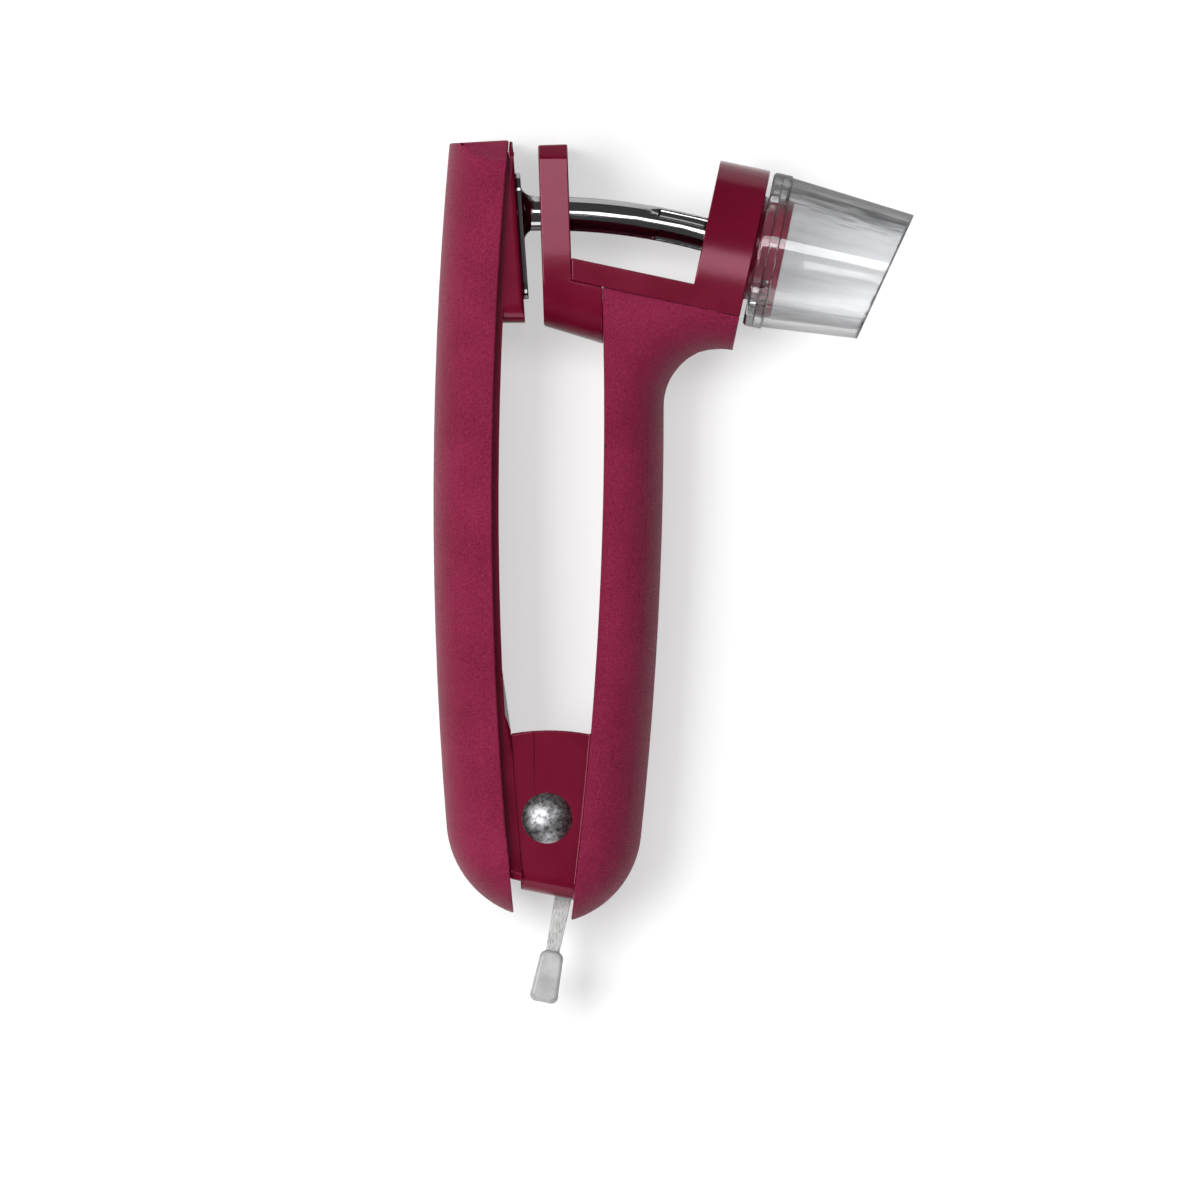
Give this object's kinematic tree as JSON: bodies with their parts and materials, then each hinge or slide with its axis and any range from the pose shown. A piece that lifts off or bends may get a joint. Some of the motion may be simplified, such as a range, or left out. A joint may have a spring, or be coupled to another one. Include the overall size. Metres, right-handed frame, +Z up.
{
  "type": "cherry pitter",
  "caption": "Hand-held cherry pitter with two curved grips, a curved steel punch through a guide, a cherry cup, a clear splatter shield and a storage lock.",
  "frame": {"origin": "centre of the bounding box's lower face, on the table that the closed tool lies on", "axes": "+X towards the splatter shield, +Y up the handles from the pull tab to the head, +Z up from the table"},
  "size_m": [0.0832, 0.1496, 0.027],
  "materials": {
    "maroon_gloss": "moulded, glossy, dark cherry red",
    "maroon_grip": "fine textured, satin, dark cherry red",
    "punch_steel": "polished stainless steel",
    "screw_steel": "plain zinc-plated steel",
    "rivet_steel": "satin stainless steel",
    "clear_plastic": "clear moulded plastic",
    "frosted_plastic": "translucent, frosted",
    "grey_plastic": "satin grey"
  },
  "bodies": {
    "frame": {"frame_core": "maroon_gloss", "frame_grip": "maroon_grip", "cherry_cup": "maroon_gloss", "cup_screws": "screw_steel", "pivot_rivet": "rivet_steel", "rivet_cap": "rivet_steel"},
    "lever": {"lever_core": "maroon_gloss", "lever_grip": "maroon_grip", "punch": "punch_steel", "punch_screws": "screw_steel", "torsion_spring": "screw_steel"},
    "shield": {"splatter_shield": "clear_plastic"},
    "lock": {"lock_slider": "frosted_plastic", "lock_tab": "grey_plastic"}
  },
  "joints": [
    {"name": "lever_hinge", "type": "hinge", "parent": "frame", "child": "lever", "pos_m": [-0.02192, -0.04242, 0.0135], "axis": [0, 0, 1], "range_deg": [0, 19], "deforming": ["torsion_spring"]},
    {"name": "lock_slide", "type": "slide", "parent": "frame", "child": "lock", "axis": [0.1908, 0.9816, 0], "range_m": [-0.0012, 0.0028]},
    {"name": "shield_twist", "type": "hinge", "parent": "frame", "child": "shield", "pos_m": [0.02036, 0.05492, 0.0135], "axis": [0.9781, -0.2079, 0], "range_deg": [0, 40]}
  ]
}
